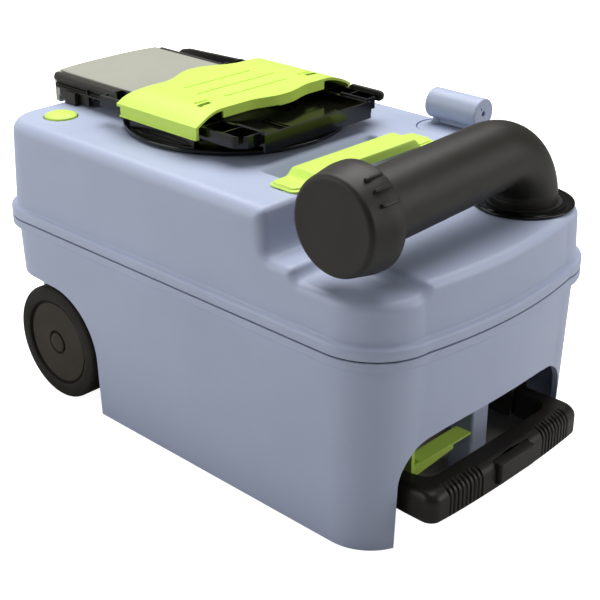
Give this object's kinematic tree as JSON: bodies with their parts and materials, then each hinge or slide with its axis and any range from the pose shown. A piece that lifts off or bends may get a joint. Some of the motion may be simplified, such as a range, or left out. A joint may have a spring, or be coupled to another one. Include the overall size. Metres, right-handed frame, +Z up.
{
  "type": "wheeled waste holding tank",
  "caption": "Portable toilet holding tank on two wheels, with a blade valve slider, sliding cover, swivelling pour spout with cap, vent button, carry grip and pull-out handle.",
  "frame": {"origin": "on the ground under the centre of the whole object's bounding box, handle pushed in", "axes": "+Z up, +Y towards the wheel end, -Y towards the pull handle, +X to the right seen from the handle end, where the spout's collar is"},
  "size_m": [0.266, 0.4584, 0.2829],
  "materials": {
    "shell_blue": "fine satin moulding",
    "lime_plastic": "satin",
    "cover_grey": "satin",
    "black_plastic": "semi-gloss",
    "wheel_black": "matte",
    "seal_rubber": "matte",
    "steel": "bright"
  },
  "bodies": {
    "tank": {"lower_shell": "shell_blue", "upper_shell": "shell_blue", "tank_seal": "seal_rubber", "valve_flange": "black_plastic", "lip_seal": "seal_rubber", "mechanism_frame": "black_plastic", "cover_rail_left": "black_plastic", "cover_rail_right": "black_plastic", "side_bar": "black_plastic", "cover_end_cap": "cover_grey", "spout_collar": "black_plastic", "spout_seal": "seal_rubber", "carry_grip": "lime_plastic", "vent_spring": "steel", "axle_pin_left": "steel", "axle_pin_right": "steel", "handle_guide_left": "black_plastic", "handle_guide_right": "black_plastic", "lower_grip": "lime_plastic"},
    "cover": {"sliding_cover": "cover_grey"},
    "valve": {"slider_bridge": "lime_plastic", "valve_blade": "black_plastic"},
    "spout": {"spout_tube": "black_plastic"},
    "cap": {"spout_cap": "black_plastic", "cap_seal": "seal_rubber"},
    "vent_release": {"vent_button": "lime_plastic", "vent_stem": "black_plastic", "vent_valve_seal": "seal_rubber"},
    "vent_head": {"vent_base": "shell_blue", "vent_housing": "shell_blue"},
    "handle": {"pull_handle": "black_plastic", "latch_spring": "steel"},
    "latch": {"handle_latch": "black_plastic"},
    "left_wheel": {"wheel_left": "wheel_black", "hub_cap_left": "wheel_black"},
    "right_wheel": {"wheel_right": "wheel_black", "hub_cap_right": "wheel_black"}
  },
  "joints": [
    {"name": "cover_slide", "type": "slide", "parent": "tank", "child": "cover", "axis": [0, -1, 0], "range_m": [0, 0.108]},
    {"name": "valve_slide", "type": "slide", "parent": "tank", "child": "valve", "axis": [0, 1, 0], "range_m": [0, 0.1]},
    {"name": "spout_swivel", "type": "hinge", "parent": "tank", "child": "spout", "pos_m": [0.0855, -0.15845, 0.21], "axis": [0, 0, 1], "range_deg": [0, 90]},
    {"name": "cap_pull", "type": "slide", "parent": "spout", "child": "cap", "axis": [-1, 0, 0], "range_m": [0, 0.04]},
    {"name": "vent_press", "type": "slide", "parent": "tank", "child": "vent_release", "axis": [0, 0, -1], "range_m": [0, 0.003], "stiffness_N_per_m": 500, "springref_m": -0.003, "deforming": ["vent_spring"]},
    {"name": "vent_head_turn", "type": "hinge", "parent": "tank", "child": "vent_head", "pos_m": [0.106, -0.06275, 0.235], "axis": [0, 0, 1], "range_deg": [-12, 12]},
    {"name": "handle_pull", "type": "slide", "parent": "tank", "child": "handle", "axis": [0, -1, 0], "range_m": [0, 0.28]},
    {"name": "latch_press", "type": "slide", "parent": "handle", "child": "latch", "axis": [0, 1, 0], "range_m": [0, 0.0035], "stiffness_N_per_m": 600, "springref_m": -0.003, "deforming": ["latch_spring"]},
    {"name": "wheel_left_spin", "type": "hinge", "parent": "tank", "child": "left_wheel", "pos_m": [-0.113, 0.15745, 0.05], "axis": [1, 0, 0], "continuous": true},
    {"name": "wheel_right_spin", "type": "hinge", "parent": "tank", "child": "right_wheel", "pos_m": [0.113, 0.15745, 0.05], "axis": [1, 0, 0], "continuous": true}
  ]
}
